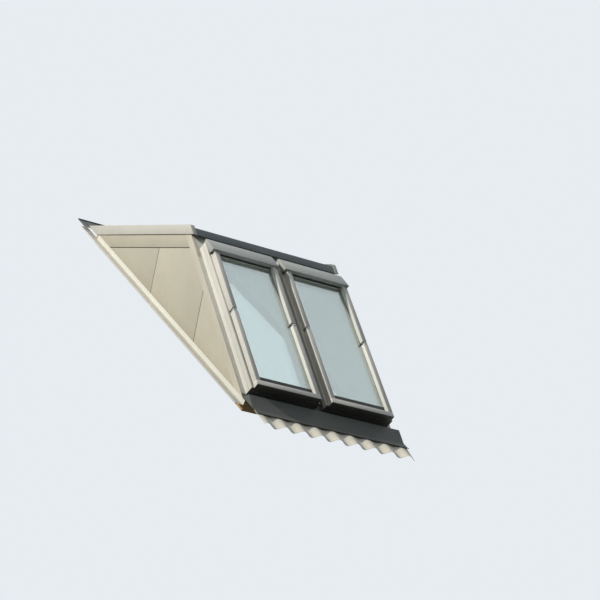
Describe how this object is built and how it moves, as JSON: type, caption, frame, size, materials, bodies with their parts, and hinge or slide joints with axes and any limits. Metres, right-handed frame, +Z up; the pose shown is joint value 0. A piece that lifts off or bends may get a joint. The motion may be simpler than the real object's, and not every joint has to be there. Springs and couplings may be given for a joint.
{
  "type": "prefabricated dormer",
  "caption": "Flat-roofed dormer for a steep tiled roof, with a sloping front, tall centre-pivot windows, panelled cheeks, edge trims and a dressed apron.",
  "frame": {"origin": "middle of the lower base rail's underside, where it lies on the rafters", "axes": "+X to the viewer's right along the ridge, +Y level into the building, +Z up"},
  "size_m": [1.933, 3.2281, 3.2381],
  "materials": {
    "carcass_timber": "sawn",
    "deck_board": "sanded panel",
    "mineral_wool": "matt",
    "lining_board": "matt paint",
    "roof_sheet": "matt",
    "cheek_panel": "matt",
    "side_trim": "satin",
    "front_trim": "satin",
    "flashing": "satin",
    "apron_metal": "satin",
    "skirt_metal": "matt",
    "window_timber": "varnished",
    "window_cover": "satin",
    "window_glass": "clear",
    "seal_rubber": "matt",
    "fitting_steel": "brushed",
    "bar_metal": "satin"
  },
  "bodies": {
    "carcass": {"base_rail_lower": "carcass_timber", "base_rail_upper": "carcass_timber", "base_rail_left": "carcass_timber", "base_rail_right": "carcass_timber", "cheek_frame_left": "carcass_timber", "cheek_frame_right": "carcass_timber", "front_sill": "carcass_timber", "front_header": "carcass_timber", "front_post_middle": "carcass_timber", "roof_joists": "carcass_timber", "roof_deck": "deck_board", "cheek_insulation": "mineral_wool", "roof_insulation": "mineral_wool", "ceiling_lining": "lining_board", "cheek_lining_left": "lining_board", "cheek_lining_right": "lining_board", "window_reveal": "lining_board", "roof_covering": "roof_sheet", "cheek_fascia_left": "cheek_panel", "cheek_fascia_right": "cheek_panel", "cheek_panel_left_front": "cheek_panel", "cheek_panel_left_middle": "cheek_panel", "cheek_panel_left_rear": "cheek_panel", "cheek_panel_right_front": "cheek_panel", "cheek_panel_right_middle": "cheek_panel", "cheek_panel_right_rear": "cheek_panel", "edge_trim_left": "side_trim", "edge_trim_right": "side_trim", "edge_trim_front_left": "front_trim", "edge_trim_front_right": "front_trim", "corner_flashing_left": "flashing", "corner_flashing_right": "flashing", "centre_gutter": "flashing", "head_flashing": "flashing", "side_soaker_left": "flashing", "side_soaker_right": "flashing", "apron_sheet": "apron_metal", "apron_skirt": "skirt_metal", "window_frame_left": "window_timber", "window_frame_right": "window_timber", "frame_covers_left": "window_cover", "window_hood_left": "window_cover", "frame_covers_right": "window_cover", "window_hood_right": "window_cover", "frame_fittings": "fitting_steel"},
    "sash_left": {"sash_left": "window_timber", "glazing_left": "window_glass", "glazing_seal_left": "seal_rubber", "sash_covers_left": "window_cover", "sash_fittings_left": "fitting_steel"},
    "control_bar_left": {"control_bar_left": "bar_metal"},
    "bolt_left": {"bolt_left": "fitting_steel"},
    "sash_right": {"sash_right": "window_timber", "glazing_right": "window_glass", "glazing_seal_right": "seal_rubber", "sash_covers_right": "window_cover", "sash_fittings_right": "fitting_steel"},
    "control_bar_right": {"control_bar_right": "bar_metal"},
    "bolt_right": {"bolt_right": "fitting_steel"}
  },
  "joints": [
    {"name": "sash_left_pivot", "type": "hinge", "parent": "carcass", "child": "sash_left", "pos_m": [-0.43, 0.17775, 1.0539], "axis": [-1, 0, 0], "range_deg": [0, 150]},
    {"name": "control_bar_left_pivot", "type": "hinge", "parent": "sash_left", "child": "control_bar_left", "pos_m": [-0.43, 0.63979, 1.76221], "axis": [-1, 0, 0], "range_deg": [0, 35]},
    {"name": "bolt_left_slide", "type": "slide", "parent": "sash_left", "child": "bolt_left", "axis": [0, -0.4067, -0.9135], "range_m": [0, 0.018]},
    {"name": "sash_right_pivot", "type": "hinge", "parent": "carcass", "child": "sash_right", "pos_m": [0.43, 0.17775, 1.0539], "axis": [-1, 0, 0], "range_deg": [0, 150]},
    {"name": "control_bar_right_pivot", "type": "hinge", "parent": "sash_right", "child": "control_bar_right", "pos_m": [0.43, 0.63979, 1.76221], "axis": [-1, 0, 0], "range_deg": [0, 35]},
    {"name": "bolt_right_slide", "type": "slide", "parent": "sash_right", "child": "bolt_right", "axis": [0, -0.4067, -0.9135], "range_m": [0, 0.018]}
  ]
}
